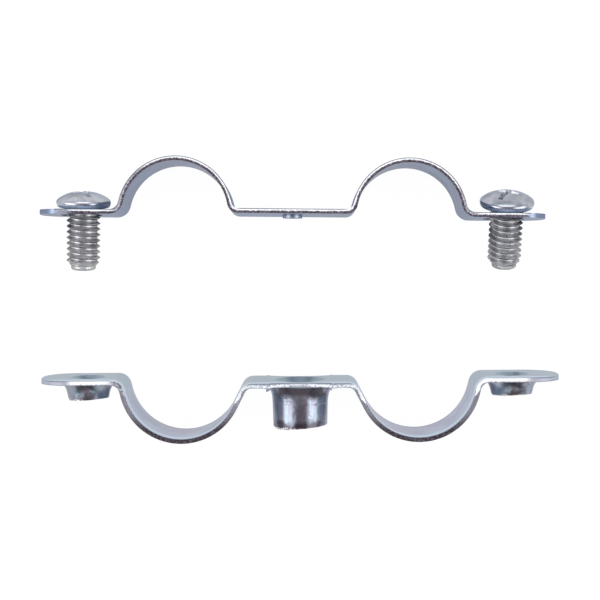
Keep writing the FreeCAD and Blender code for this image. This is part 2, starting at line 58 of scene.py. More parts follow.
def addNode(tree, kind, inputs=(), **settings):
    # one node with its settings; its inputs come in order or by name, each a value, or the
    # socket or node it is linked from, and of a node the first output in use is taken
    node = tree.nodes.new("ShaderNode" + kind)
    for name, value in settings.items():
        setattr(node, name, value)
    for socket, value in inputs.items() if isinstance(inputs, dict) else enumerate(inputs):
        if isinstance(value, bpy.types.Node):
            value = next(output for output in value.outputs if output.enabled)
        if isinstance(value, bpy.types.NodeSocket):
            tree.links.new(value, node.inputs[socket])
        else:
            node.inputs[socket].default_value = value
    return node


smooth = {"interpolation_type": "SMOOTHSTEP"}   # a map range of value, start and end, 0 to 1
rgba = {"data_type": "RGBA"}                    # a mix with its factor at input 0, colours at 6 and 7


def newMaterial(name):
    material = bpy.data.materials.new(name)
    material.use_nodes = True
    material.node_tree.nodes.clear()
    return material, material.node_tree


def metalSurface(tree, colour, roughness, grazing, relief):
    # plated steel: its colour face on, its tint at grazing angles and its relief in metres
    bump = addNode(tree, "Bump", {"Height": relief, "Strength": 1.0, "Distance": 1.0})
    metal = addNode(tree, "BsdfPrincipled", {
        "Base Color": colour, "Metallic": 1.0, "Roughness": roughness,
        "Specular Tint": grazing, "Normal": bump,
    })
    addNode(tree, "OutputMaterial", {"Surface": metal})


cameraPlan = {
    "over": (0.2 * mm, -0.05 * mm),   # point of the floor straight below the lens
    "height": 289 * mm,
    "lens": 96.9,
}
lens = bpy.data.cameras.new("camera")
lens.lens = cameraPlan["lens"]
lens.clip_start = 0.01
camera = bpy.data.objects.new("camera", lens)
camera.location = (*cameraPlan["over"], cameraPlan["height"])
bpy.context.scene.collection.objects.link(camera)
bpy.context.scene.camera = camera
bpy.context.scene.view_settings.view_transform = "Standard"

stagePlan = {
    "floorColour": "#F2F2F4",
    "shadowShare": 0.06,      # how much of the floor's look is lit and shadowed
    "floorGlow": 1.03,
    "zenith": "#A98F9B",      # the lens hole straight above is dim and warm
    "tent": "#B4BCC9",
    "horizon": "#DDE2EA",
    "front": "#A3ADB3",       # little that is bright stands on the near side
    "tentFrom": 0.35,         # heights on the sky, 0 at the horizon and 1 overhead
    "zenithFrom": (0.80, 0.88),
    "frontAcross": (-0.10, -0.30),
    "frontUp": (0.05, 0.25),
    "reach": 1.5,
    "sunk": 0.00003,          # the floor lies just under the part, so that no faces coincide
}

floorMesh = bpy.data.meshes.new("floor")
reach = stagePlan["reach"]
corners = [(-reach, -reach, 0), (reach, -reach, 0), (reach, reach, 0), (-reach, reach, 0)]
floorMesh.from_pydata(corners, [], [(0, 1, 2, 3)])
floor = bpy.data.objects.new("floor", floorMesh)
floor.location.z = -stagePlan["sunk"]
bpy.context.scene.collection.objects.link(floor)

# matt white paper: it takes the soft shadow and gives the metal something white to mirror
paper, tree = newMaterial("whitePaper")
path = addNode(tree, "LightPath")
seen = addNode(tree, "Math", [
    path.outputs["Is Camera Ray"], path.outputs["Is Glossy Ray"],
], operation="MAXIMUM")
seen = addNode(tree, "Math", [seen, path.outputs["Is Transmission Ray"]], operation="MAXIMUM")
lit = addNode(tree, "BsdfDiffuse", {"Color": linearColour(stagePlan["floorColour"])})
white = addNode(tree, "Emission", {"Color": (1, 1, 1, 1), "Strength": stagePlan["floorGlow"]})
share = addNode(tree, "Math", [seen, 1 - stagePlan["shadowShare"]], operation="MULTIPLY")
mixed = addNode(tree, "MixShader", [share, lit, white])
addNode(tree, "OutputMaterial", [mixed])
floorMesh.materials.append(paper)

world = bpy.data.worlds.new("lightTent")
bpy.context.scene.world = world
world.use_nodes = True
tree = world.node_tree
tree.nodes.clear()
direction = addNode(tree, "TexCoord")
axes = addNode(tree, "SeparateXYZ", [direction.outputs["Generated"]])
rise = addNode(tree, "ValToRGB", [axes.outputs["Z"]])
stops = rise.color_ramp
stops.elements[0].position = 0.0
stops.elements[0].color = linearColour(stagePlan["horizon"])
stops.elements[1].position = stagePlan["tentFrom"]
stops.elements[1].color = linearColour(stagePlan["tent"])
for place, colour in zip(stagePlan["zenithFrom"], (stagePlan["tent"], stagePlan["zenith"])):
    stop = stops.elements.new(place)
    stop.color = linearColour(colour)
aheadOf = addNode(tree, "Math", [
    addNode(tree, "MapRange", [axes.outputs["Y"], *stagePlan["frontAcross"]], **smooth),
    addNode(tree, "MapRange", [axes.outputs["Z"], *stagePlan["frontUp"]], **smooth),
], operation="MULTIPLY")
around = addNode(tree, "Mix", {0: aheadOf, 6: rise, 7: linearColour(stagePlan["front"])}, **rgba)
tent = addNode(tree, "Background", {"Color": around, "Strength": 1.0})
addNode(tree, "OutputWorld", [tent])

# a broad window on each side, one behind, and a dimmer panel at the front
softboxes = {
    "leftWindow": {"at": (-0.355, -0.04, 0.277), "size": (0.36, 0.44), "strength": 2.2},
    "rightWindow": {"at": (0.355, -0.04, 0.277), "size": (0.36, 0.44), "strength": 2.2},
    "backWindow": {"at": (0.0, 0.34, 0.26), "size": (0.36, 0.26), "strength": 2.0},
    "frontPanel": {"at": (0.0, -0.31, 0.30), "size": (0.44, 0.30), "strength": 0.75},
}
for name, box in softboxes.items():
    light = bpy.data.lights.new(name, "AREA")
    light.shape = "RECTANGLE"
    light.size, light.size_y = box["size"]
    light.energy = box["strength"] * math.pi * light.size * light.size_y
    lamp = bpy.data.objects.new(name, light)
    lamp.location = box["at"]
    aim = -Vector((box["at"][0], 0 if box["at"][0] else box["at"][1], box["at"][2])).normalized()
    sideways = Vector((0, 1, 0)).cross(aim) if abs(aim.x) > abs(aim.y) else Vector((1, 0, 0))
    sideways.normalize()
    lamp.rotation_euler = Matrix((sideways, (-aim).cross(sideways), -aim)).transposed().to_euler()
    bpy.context.scene.collection.objects.link(lamp)
print("stage and lights set")


stripSizes = {
    # mm out from the middle of the strap or up its band; of a pair, the first is where a change
    # starts and the second is where it is complete
    "halfBand": 6.5, "bandEnd": (5.9, 6.2), "outerBends": (24.0, 27.0), "ears": (28.0, 30.0),
    # the far and near lines bound a painted contact shadow and a painted highlight along the faces' long
    # edges
    "tips": (38.6, 40.0), "farShadowLine": (1.3, 0.5), "nearHighlightLine": (11.4, 12.4), "bendBlend": 2.2,
}


def placeInMm(tree, tilt):
    # object place in mm, with the roll of the piece taken out of its Y
    coordinates = addNode(tree, "TexCoord")
    scaled = addNode(tree, "VectorMath", [
        coordinates.outputs["Object"], (1000, 1000, 1000),
    ], operation="MULTIPLY")
    axes = addNode(tree, "SeparateXYZ", [scaled])
    x, y, z = axes.outputs
    level = addNode(tree, "Math", [z, tilt, y], operation="MULTIPLY_ADD")
    flat = addNode(tree, "CombineXYZ", [x, level])
    return scaled, flat, x, level, z


def acrossSheet(tree, flat, x, level, sheet):
    # how far a point lies from the middle of the sheet, in mm, above 0 on the side that the
    # arches bulge to
    line = addNode(tree, "Math", [x, -sheet["turn"], level], operation="MULTIPLY_ADD")
    atEar = addNode(tree, "MapRange", [
        addNode(tree, "Math", [x], operation="ABSOLUTE"),
        *stripSizes["ears"],
    ], **smooth)
    line = addNode(tree, "Math", [
        atEar, sheet["middleAt"] - sheet["earAt"], line,
    ], operation="MULTIPLY_ADD")
    rise = addNode(tree, "Math", [
        line, sheet["side"], -sheet["side"] * sheet["middleAt"],
    ], operation="MULTIPLY_ADD")
    outside = rise
    for centre in sheet["centres"]:
        apart = addNode(tree, "VectorMath", [flat, (*centre, 0)], operation="DISTANCE")
        around = addNode(tree, "Math", [apart.outputs["Value"], sheet["radius"]], operation="SUBTRACT")
        outside = addNode(tree, "Math", [outside, around, stripSizes["bendBlend"]], operation="SMOOTH_MIN")
    return outside


zincSheet = {
    # both straps; sizes and depths in mm
    "patch": 5.0,                  # clouds of thicker passivate
    "grain": 0.30,                 # of the sheared edge, coarser than the real one so that it shows
    "wanderPerMm": 0.45, "streaksPerMm": 1.1, "dentsPerMm": 0.75,
    "facePits": 0.008, "edgePits": 0.10, "rimPits": 0.10, "dentDepth": 0.06, "streakDepth": 0.02,
    "edgeRoll": -1.2,

    # share of a pattern at which a colour starts, and at which it is complete
    "clouds": (0.35, 0.65), "warmth": (0.45, 0.62), "crumbs": (0.42, 0.68), "salted": (0.42, 0.60),
    "tornSpecks": (0.36, 0.56), "rimSpecks": (0.42, 0.56), "streaked": (0.36, 0.70),
    "dented": (0.62, 0.74),

    # how much of each colour is laid on
    "flatShare": 0.75, "tipShadeShare": 0.85, "tornShare": 0.9, "heartReflectionShare": 0.65, "footReflectionShare": 0.85,

    # the sheared edge: its bright land (burnished, with a painted highlight), rolled rim and tips (painted
    # shade), tears (rough, with a painted dark reflection) and salt, and the punch mark
    # the rim and tip colours are painted shade where the edge turns from the light
    "burnishedHighlight": "#FBFCFD", "rim": "#747984", "tipShade": "#9799A6", "tornSide": "#878D98",
    "flankTear": "#85848C", "salt": "#BFC2CB", "pip": "#AEB5C1",
    # the drawn necks: sides, warm streaks, dents, and a painted dark reflection down the middle and round
    # the foot
    "neckSide": "#9CA8B5", "neckWarm": "#908A94", "neckDark": "#554B52", "neckHeartReflection": "#63525A",
    "neckFootReflection": "#453A40",
}
coverSheet = {
    # it lies level, with its arches up; "tilt" and "turn" are slopes, the rest is in mm
    "faceDark": "#717C91", "faceLight": "#8E98AC", "faceWarm": "#85869A", "faceRoughness": 0.27,
    # the far rim colour is a painted contact shadow along the floor edge, and the near rim colour a painted
    # highlight along the near edge
    "grazing": "#CDD2DE", "outerGrazing": "#8C9FC0", "farShadow": "#596271", "nearHighlight": "#8E98AE",
    "faceFlat": "#7E8AA0",
    # the tear colours are partly the rough fracture and partly a painted dark reflection
    "tearAndReflectionDark": "#4C444A", "tearAndReflectionMiddle": "#857E88",
    "tilt": 0.0, "turn": -0.0087, "side": 1, "middleAt": 15.17, "earAt": 14.82,
    "centres": [(-21.202, 14.755), (18.997, 14.404)], "radius": 9.5,
    "rolls": 1, "landAt": 0.03, "flatLandAt": 0.03, "flatFrom": 16.4, "flatTo": 15.9, "endsHigher": 0.0,
    "rimFrom": 0.22, "rimTo": 0.30, "tornTo": 0.0, "necks": [],
    "mottled": [(-33.0, -26.0), (26.5, 31.5)],
}
baseSheet = {
    # it leans on its saddles, with the arches down
    "faceDark": "#929BAC", "faceLight": "#ABB2C3", "faceWarm": "#A3A1B2", "faceRoughness": 0.30,
    # the far rim colour is a painted contact shadow along the floor edge, and the near rim colour a painted
    # highlight along the near edge
    "grazing": "#F2F3F8", "outerGrazing": "#E4E8F0", "farShadow": "#7D8796", "nearHighlight": "#B9C9D8",
    "faceFlat": "#93A7AE",
    # the tear colours are partly the rough fracture and partly a painted dark reflection
    "tearAndReflectionDark": "#3E353A", "tearAndReflectionMiddle": "#6C6870",
    "tilt": 0.0628, "turn": 0.0078, "side": -1, "middleAt": -13.84, "earAt": -13.14,
    "centres": [(-20.154, -13.217), (20.545, -12.897)], "radius": 10.2,
    "rolls": -1, "landAt": 0.55, "flatLandAt": -0.26,
    "flatFrom": -17.6, "flatTo": -15.6, "endsHigher": -1.2,
    "rimFrom": 0.28, "rimTo": 0.38, "tornTo": 11.2, "nibsAt": 7.1,
    "mottled": [(-33.0, -27.5)],
    # each neck's middle across and up the band, the radii of its bore, side and foot, half the
    # width of its painted dark reflection, and the levels where it starts, where the painted dark stops and
    # its end
    "necks": [
        {"middle": (0.24, 8.04), "bore": 3.4, "side": 4.85, "foot": 5.9, "dark": 4.1,
         "start": -14.25, "clear": -16.4, "end": -21.9},
        {"middle": (-36.70, 8.05), "bore": 2.5, "side": 3.6, "foot": 4.95, "dark": 1.9,
         "start": -13.8, "clear": -15.2, "end": -17.3},
        {"middle": (37.10, 8.02), "bore": 2.5, "side": 3.6, "foot": 4.95, "dark": 1.9,
         "start": -13.3, "clear": -14.6, "end": -16.4},
    ],
}


def neckMasks(tree, at, edge, sheet):
    # the drawn necks are worked metal, not sheet: masks of all of it, of the painted dark reflection
    # round its foot, of its torn rim and of the painted dark reflection down its middle, and the edge mask
    # without it
    whole, foot, rim, heartReflection = None, None, None, None
    x, level = at["x"], at["level"]
    endOn = addNode(tree, "CombineXYZ", [x, at["upBand"]])
    wander = addNode(tree, "TexNoise", {
        "Vector": at["place"], "Scale": zincSheet["wanderPerMm"], "Detail": 2.0,
    })
    for plan in sheet["necks"]:
        side, end = plan["side"], plan["end"]
        apart = addNode(tree, "VectorMath", [endOn, (*plan["middle"], 0)], operation="DISTANCE")
        edge = addNode(tree, "Math", [
            edge,
            addNode(tree, "MapRange", [apart, side, side + 0.1], **smooth),
        ], operation="MULTIPLY")
        inside = addNode(tree, "MapRange", [apart, plan["foot"], plan["foot"] - 0.2], **smooth)
        inside = addNode(tree, "Math", [
            inside,
            addNode(tree, "MapRange", [apart, plan["bore"] + 0.2, plan["bore"] + 0.35], **smooth),
        ], operation="MULTIPLY")
        inside = addNode(tree, "Math", [
            inside,
            addNode(tree, "MapRange", [level, plan["start"], plan["start"] - 0.15], **smooth),
        ], operation="MULTIPLY")
        wavy = addNode(tree, "Math", [wander, 3.0, level], operation="MULTIPLY_ADD")
        # painted dark reflection near the foot, where the neck flares, and towards its end
        dark = addNode(tree, "Math", [
            addNode(tree, "MapRange", [wavy, plan["clear"] + 0.7, plan["clear"] + 2.3], **smooth),
            addNode(tree, "MapRange", [wavy, end + 3.8, end + 2.4], **smooth),
        ], operation="MAXIMUM")
        aside = addNode(tree, "Math", [
            addNode(tree, "Math", [x, plan["middle"][0]], operation="SUBTRACT"),
        ], operation="ABSOLUTE")
        sideways = addNode(tree, "Math", [wander, 3.0, aside], operation="MULTIPLY_ADD")
        dark = addNode(tree, "Math", [
            dark,
            addNode(tree, "MapRange", [sideways, plan["dark"] + 2.2, plan["dark"] + 0.8], **smooth),
        ], operation="MULTIPLY")
        flare = addNode(tree, "Math", [inside, dark], operation="MULTIPLY")
        lip = addNode(tree, "Math", [
            inside,
            addNode(tree, "MapRange", [level, end + 3.0 / side, end + 0.15], **smooth),
        ], operation="MULTIPLY")
        # painted dark reflection down the middle of the neck
        core = addNode(tree, "Math", [
            inside,
            addNode(tree, "MapRange", [sideways, 0.62 * side + 0.2, 0.62 * side - 1.0], **smooth),
        ], operation="MULTIPLY")
        whole = inside if whole is None else addNode(tree, "Math", [whole, inside], operation="MAXIMUM")
        foot = flare if foot is None else addNode(tree, "Math", [foot, flare], operation="MAXIMUM")
        rim = lip if rim is None else addNode(tree, "Math", [rim, lip], operation="MAXIMUM")
        heartReflection = core if heartReflection is None else addNode(tree, "Math", [heartReflection, core], operation="MAXIMUM")
    edge = addNode(tree, "Math", [
        edge,
        addNode(tree, "Math", [1.0, whole], operation="SUBTRACT"),
    ], operation="MULTIPLY")
    return edge, {"whole": whole, "foot": foot, "rim": rim, "heartReflection": heartReflection}


def rolledFace(tree, at, noise, flats, sheet):
    # the rolled faces: cloudy, with lilac patches, a painted contact shadow along the far edge where it
    # meets the floor, and a painted highlight along the near edge
    shade = addNode(tree, "MapRange", [noise["patches"], *zincSheet["clouds"]], **smooth)
    face = addNode(tree, "Mix", {
        0: shade, 6: linearColour(sheet["faceDark"]), 7: linearColour(sheet["faceLight"]),
    }, **rgba)
    face = addNode(tree, "Mix", {
        0: addNode(tree, "MapRange", [noise["hue"], *zincSheet["warmth"]], **smooth),
        6: face,
        7: linearColour(sheet["faceWarm"]),
    }, **rgba)
    face = addNode(tree, "Mix", {
        0: addNode(tree, "Math", [flats, zincSheet["flatShare"]], operation="MULTIPLY"),
        6: face,
        7: linearColour(sheet["faceFlat"]),
    }, **rgba)
    # painted contact shadow along the far edge, where the face meets the floor
    farShadowLine = addNode(tree, "MapRange", [at["z"], *stripSizes["farShadowLine"]], **smooth)
    face = addNode(tree, "Mix", {0: farShadowLine, 6: face, 7: linearColour(sheet["farShadow"])}, **rgba)
    # painted highlight along the near edge of the face
    nearHighlightLine = addNode(tree, "MapRange", [at["upBand"], *stripSizes["nearHighlightLine"]], **smooth)
    return addNode(tree, "Mix", {0: nearHighlightLine, 6: face, 7: linearColour(sheet["nearHighlight"])}, **rgba)


def shearedEdge(tree, at, noise, flats, sheet):
    # a bright cut land on the side that the shear came in from, burnished and carrying a painted highlight,
    # and a dark tear behind it, rough and carrying a painted dark reflection
    x, across, grain = at["x"], at["across"], noise["grain"]
    landAt = addNode(tree, "Math", [
        flats, sheet["flatLandAt"] - sheet["landAt"], sheet["landAt"],
    ], operation="MULTIPLY_ADD")
    ragged = addNode(tree, "Math", [grain, 0.5, -0.25], operation="MULTIPLY_ADD")
    ragged = addNode(tree, "Math", [
        addNode(tree, "Math", [across, ragged], operation="ADD"),
        landAt,
    ], operation="SUBTRACT")
    land = addNode(tree, "MapRange", [ragged, -0.10, 0.10], **smooth)
    crumbs = addNode(tree, "MapRange", [grain, *zincSheet["crumbs"]], **smooth)
    # the dark tear: rough fracture, darkened further as a painted dark reflection
    tear = addNode(tree, "Mix", {
        0: crumbs, 6: linearColour(sheet["tearAndReflectionDark"]), 7: linearColour(sheet["tearAndReflectionMiddle"]),
    }, **rgba)
    if sheet["necks"]:
        flank = addNode(tree, "MapRange", [at["level"], -21.8, -17.8], **smooth)
        tear = addNode(tree, "Mix", {0: flank, 6: tear, 7: linearColour(zincSheet["flankTear"])}, **rgba)
    # the bright land is burnished metal carrying a painted highlight
    colour = addNode(tree, "Mix", {0: land, 6: tear, 7: linearColour(zincSheet["burnishedHighlight"])}, **rgba)
    out = addNode(tree, "Math", [x], operation="ABSOLUTE")
    # the ear tips are painted grey: painted shade where the edge turns from the light and the bright land
    # ends
    tips = addNode(tree, "Math", [
        addNode(tree, "MapRange", [out, *stripSizes["tips"]], **smooth),
        zincSheet["tipShadeShare"],
    ], operation="MULTIPLY")
    colour = addNode(tree, "Mix", {0: tips, 6: colour, 7: linearColour(zincSheet["tipShade"])}, **rgba)
    for start, end in sheet["mottled"]:
        here = addNode(tree, "Math", [
            addNode(tree, "MapRange", [x, start, start + 1.5], **smooth),
            addNode(tree, "MapRange", [x, end, end - 1.5], **smooth),
        ], operation="MULTIPLY")
        here = addNode(tree, "Math", [
            here,
            addNode(tree, "MapRange", [across, 0.42, 0.18], **smooth),
        ], operation="MULTIPLY")
        specks = addNode(tree, "MapRange", [grain, *zincSheet["salted"]], **smooth)
        salt = addNode(tree, "Mix", {
            0: specks, 6: linearColour(sheet["tearAndReflectionMiddle"]), 7: linearColour(zincSheet["salt"]),
        }, **rgba)
        colour = addNode(tree, "Mix", {
            0: addNode(tree, "Math", [here, land], operation="MULTIPLY"),
            6: colour,
            7: salt,
        }, **rgba)
    if sheet["tornTo"]:
        # drawing the boss has pulled the middle of the edge ragged, with a nib at each end
        torn = addNode(tree, "MapRange", [out, sheet["tornTo"], sheet["tornTo"] - 2.5], **smooth)
        specks = addNode(tree, "MapRange", [grain, *zincSheet["tornSpecks"]], **smooth)
        bright = addNode(tree, "Mix", {
            0: specks, 6: linearColour(zincSheet["neckSide"]), 7: linearColour(zincSheet["burnishedHighlight"]),
        }, **rgba)
        sides = addNode(tree, "Math", [
            addNode(tree, "MapRange", [across, 0.02, 0.26], **smooth),
            addNode(tree, "MapRange", [across, -0.20, -0.38], **smooth),
        ], operation="MAXIMUM")
        bright = addNode(tree, "Mix", {
            0: addNode(tree, "Math", [sides, zincSheet["tornShare"]], operation="MULTIPLY"),
            6: bright,
            7: linearColour(zincSheet["tornSide"]),
        }, **rgba)
        colour = addNode(tree, "Mix", {0: torn, 6: colour, 7: bright}, **rgba)
        # the nibs take the bright land colour, a painted highlight
        nibs = addNode(tree, "Math", [out, sheet["nibsAt"], 1.5], operation="COMPARE")
        nibs = addNode(tree, "Math", [
            nibs,
            addNode(tree, "MapRange", [across, -0.36, -0.46], **smooth),
        ], operation="MULTIPLY")
        colour = addNode(tree, "Mix", {0: nibs, 6: colour, 7: linearColour(zincSheet["burnishedHighlight"])}, **rgba)
    # the rolled rim is painted grey: painted shade where the rolled corner turns from the light
    rim = addNode(tree, "MapRange", [across, sheet["rimFrom"], sheet["rimTo"]], **smooth)
    return addNode(tree, "Mix", {0: rim, 6: colour, 7: linearColour(zincSheet["rim"])}, **rgba)


def drawnNeck(tree, at, noise, masks):
    # drawing leaves streaks along the neck, dents round it and a torn rim: colour and marks
    place, grain = at["place"], noise["grain"]
    along = addNode(tree, "VectorMath", [place, (1.0, 0.16, 1.0)], operation="MULTIPLY")
    streaks = addNode(tree, "TexNoise", {
        "Vector": along, "Scale": zincSheet["streaksPerMm"], "Detail": 4.0, "Roughness": 0.55,
    })
    dents = addNode(tree, "TexNoise", {
        "Vector": place, "Scale": zincSheet["dentsPerMm"], "Detail": 3.0, "Roughness": 0.55,
        "Distortion": 0.6,
    })
    streaked = addNode(tree, "MapRange", [streaks, *zincSheet["streaked"]], **smooth)
    worked = addNode(tree, "Mix", {
        0: streaked, 6: linearColour(zincSheet["neckSide"]), 7: linearColour(zincSheet["neckWarm"]),
    }, **rgba)
    worked = addNode(tree, "Mix", {
        0: addNode(tree, "MapRange", [dents, *zincSheet["dented"]], **smooth),
        6: worked,
        7: linearColour(zincSheet["neckDark"]),
    }, **rgba)
    # painted dark reflection down the middle of the neck
    heartReflection = addNode(tree, "Math", [masks["heartReflection"], zincSheet["heartReflectionShare"]], operation="MULTIPLY")
    worked = addNode(tree, "Mix", {0: heartReflection, 6: worked, 7: linearColour(zincSheet["neckHeartReflection"])}, **rgba)
    # painted dark reflection round the foot
    foot = addNode(tree, "Math", [masks["foot"], zincSheet["footReflectionShare"]], operation="MULTIPLY")
    worked = addNode(tree, "Mix", {0: foot, 6: worked, 7: linearColour(zincSheet["neckFootReflection"])}, **rgba)
    specks = addNode(tree, "MapRange", [grain, *zincSheet["rimSpecks"]], **smooth)
    speckle = addNode(tree, "Mix", {
        0: specks, 6: linearColour(zincSheet["neckDark"]), 7: linearColour(zincSheet["burnishedHighlight"]),
    }, **rgba)
    worked = addNode(tree, "Mix", {0: masks["rim"], 6: worked, 7: speckle}, **rgba)
    marks = addNode(tree, "Math", [
        dents,
        zincSheet["dentDepth"],
        addNode(tree, "Math", [streaks, zincSheet["streakDepth"]], operation="MULTIPLY"),
    ], operation="MULTIPLY_ADD")
    marks = addNode(tree, "Math", [
        masks["rim"],
        addNode(tree, "Math", [grain, zincSheet["rimPits"]], operation="MULTIPLY"),
        marks,
    ], operation="MULTIPLY_ADD")
    return worked, marks


def platedSheet(name, sheet):
    # blue passivated zinc on cold rolled steel: a grey blue mirror gone soft, with lilac patches where the
    # passivate is thicker; the sheared edge is part bright land with a painted highlight, part dark tear
    # with a painted dark reflection
    material, tree = newMaterial(name)
    place, flat, x, level, z = placeInMm(tree, sheet["tilt"])
    across = acrossSheet(tree, flat, x, level, sheet)
    across = addNode(tree, "Math", [across, sheet["rolls"]], operation="MULTIPLY")
    y = addNode(tree, "SeparateXYZ", [place]).outputs["Y"]
    upBand = addNode(tree, "Math", [y, -sheet["tilt"], z], operation="MULTIPLY_ADD")
    at = {"place": place, "x": x, "level": level, "z": z, "upBand": upBand, "across": across}
    noise = {
        "patches": addNode(tree, "TexNoise", {
            "Vector": place, "Scale": 1 / zincSheet["patch"], "Detail": 3.0, "Roughness": 0.55,
        }),
        "hue": addNode(tree, "TexNoise", {
            "Vector": place, "Scale": 0.6 / zincSheet["patch"], "Detail": 1.0,
        }),
        "grain": addNode(tree, "TexNoise", {
            "Vector": place, "Scale": 1 / zincSheet["grain"], "Detail": 4.0, "Roughness": 0.65,
        }),
    }

    # the sheared edges face up or down, and the faces don't
    normal = addNode(tree, "NewGeometry")
    facing = addNode(tree, "SeparateXYZ", [normal.outputs["Normal"]])
    upright = addNode(tree, "Math", [facing.outputs["Z"]], operation="ABSOLUTE")
    edge = addNode(tree, "MapRange", [upright, 0.35, 0.75], **smooth)
    if sheet["necks"]:
        edge, masks = neckMasks(tree, at, edge, sheet)
    else:
        ends = addNode(tree, "Math", [
            addNode(tree, "Math", [z, stripSizes["halfBand"]], operation="SUBTRACT"),
        ], operation="ABSOLUTE")
        edge = addNode(tree, "Math", [
            edge,
            addNode(tree, "MapRange", [ends, *stripSizes["bandEnd"]], **smooth),
        ], operation="MULTIPLY")

    # the flats between the bends, which lie higher towards the ears
    outward = addNode(tree, "MapRange", [
        addNode(tree, "Math", [x], operation="ABSOLUTE"),
        *stripSizes["outerBends"],
    ], **smooth)
    height = addNode(tree, "Math", [noise["patches"], 0.8, level], operation="MULTIPLY_ADD")
    height = addNode(tree, "Math", [outward, sheet["endsHigher"], height], operation="MULTIPLY_ADD")
    flats = addNode(tree, "MapRange", [height, sheet["flatFrom"] + 0.4, sheet["flatTo"] + 0.4], **smooth)

    face = rolledFace(tree, at, noise, flats, sheet)
    colour = addNode(tree, "Mix", {0: edge, 6: face, 7: shearedEdge(tree, at, noise, flats, sheet)}, **rgba)
    if not sheet["necks"]:
        pip = addNode(tree, "Math", [
            addNode(tree, "MapRange", [across, -0.46, -0.54], **smooth),
            addNode(tree, "MapRange", [upright, 0.3, 0.6], **smooth),
        ], operation="MULTIPLY")
        colour = addNode(tree, "Mix", {0: pip, 6: colour, 7: linearColour(zincSheet["pip"])}, **rgba)
    rough = addNode(tree, "Math", [edge, 0.16, sheet["faceRoughness"]], operation="MULTIPLY_ADD")
    rough = addNode(tree, "Math", [noise["patches"], 0.10, rough], operation="MULTIPLY_ADD")

    # the sheared edge rolls over towards its bright side
    over = addNode(tree, "Math", [across, 0.0], operation="MAXIMUM")
    roll = addNode(tree, "Math", [
        addNode(tree, "Math", [over, over], operation="MULTIPLY"),
        zincSheet["edgeRoll"],
    ], operation="MULTIPLY")
    relief = addNode(tree, "Math", [roll, edge], operation="MULTIPLY")
    pits = addNode(tree, "Math", [
        noise["grain"],
        addNode(tree, "Math", [
            edge, zincSheet["edgePits"], zincSheet["facePits"],
        ], operation="MULTIPLY_ADD"),
    ], operation="MULTIPLY")
    relief = addNode(tree, "Math", [relief, pits], operation="ADD")
    if sheet["necks"]:
        worked, marks = drawnNeck(tree, at, noise, masks)
        colour = addNode(tree, "Mix", {0: masks["whole"], 6: colour, 7: worked}, **rgba)
        rough = addNode(tree, "Math", [masks["whole"], -0.08, rough], operation="MULTIPLY_ADD")
        relief = addNode(tree, "Math", [marks, masks["whole"], relief], operation="MULTIPLY_ADD")

    outer = addNode(tree, "MapRange", [across, 0.15 * sheet["rolls"], 0.30 * sheet["rolls"]], **smooth)
    grazing = addNode(tree, "Mix", {
        0: outer, 6: linearColour(sheet["grazing"]), 7: linearColour(sheet["outerGrazing"]),
    }, **rgba)
    relief = addNode(tree, "Math", [relief, mm], operation="MULTIPLY")
    metalSurface(tree, colour, rough, grazing, relief)
    return material


coverZinc = platedSheet("coverPlatedSheet", coverSheet)
baseZinc = platedSheet("basePlatedSheet", baseSheet)
for node, material in (("cover_strap", coverZinc), ("base_strap", baseZinc)):
    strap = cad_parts[node]
    strap.data.materials.clear()
    strap.data.materials.append(material)
    for polygon in strap.data.polygons:
        polygon.material_index = 0
print("straps plated")


screwSizes = {
    # M6 pan head screw, lengths in mm; the axis is Y and the head stands at +Y
    "crest": 2.95, "depth": 0.54, "pitch": 1.0, "crestFlat": 0.06, "rootFlat": 0.22,
    "length": 11.0, "tip": 2.15, "tipLength": 0.75, "tipChamfer": 0.75, "tipRound": 0.4,
    # half of the head's outline, as (radius, height), from its crown out and down to its seat
    "head": [
        (0, 2.80), (1.0, 2.755), (2.05, 2.60), (3.04, 2.28), (3.75, 1.94), (4.25, 1.62),
        (4.56, 1.36), (4.70, 1.14), (4.75, 0.92), (4.73, 0.66), (4.66, 0.42), (4.54, 0.20),
        (4.36, 0.05), (4.10, 0.0), (3.2, 0.0), (2.4, 0.0),
    ],
    "flankTop": 0.75, "slotWidth": 1.15, "slotSpan": 7.0, "slotDepth": 0.75,
    "crossWidth": 1.15, "crossSpan": 4.6, "crossDepth": 1.9, "wornEdge": 0.09,
    "slotTaper": 0.96, "crossTaper": 0.45, "floorTaper": 0.7,   # of a recess, top to bottom
    "turnSteps": 56,
}
screwPlaces = {
    "screw_left": {"name": "leftScrew", "droop": 9.0, "yaw": -1.4, "slot": 65.0, "seed": 3.0},
    "screw_right": {"name": "rightScrew", "droop": 19.0, "yaw": -0.5, "slot": 118.0, "seed": 9.0},
}


def smoothLine(points, steps):
    # points joined by a Catmull-Rom curve
    line = []
    for i in range(len(points) - 1):
        before = points[max(i - 1, 0)]
        start, end = points[i], points[i + 1]
        after = points[min(i + 2, len(points) - 1)]
        for step in range(steps):
            t = step / steps
            line.append(tuple(
                0.5 * (2 * b + (c - a) * t
                       + (2 * a - 5 * b + 4 * c - d) * t * t
                       + (3 * b - a - 3 * c + d) * t ** 3)
                for a, b, c, d in zip(before, start, end, after)))
    line.append(points[-1])
    return line


def ringAbout(mesh, radius, height, steps):
    # a ring of points about Y
    turns = [2 * math.pi * k / steps for k in range(steps)]
    return [mesh.verts.new((radius * math.cos(turn), height, radius * math.sin(turn))) for turn in turns]


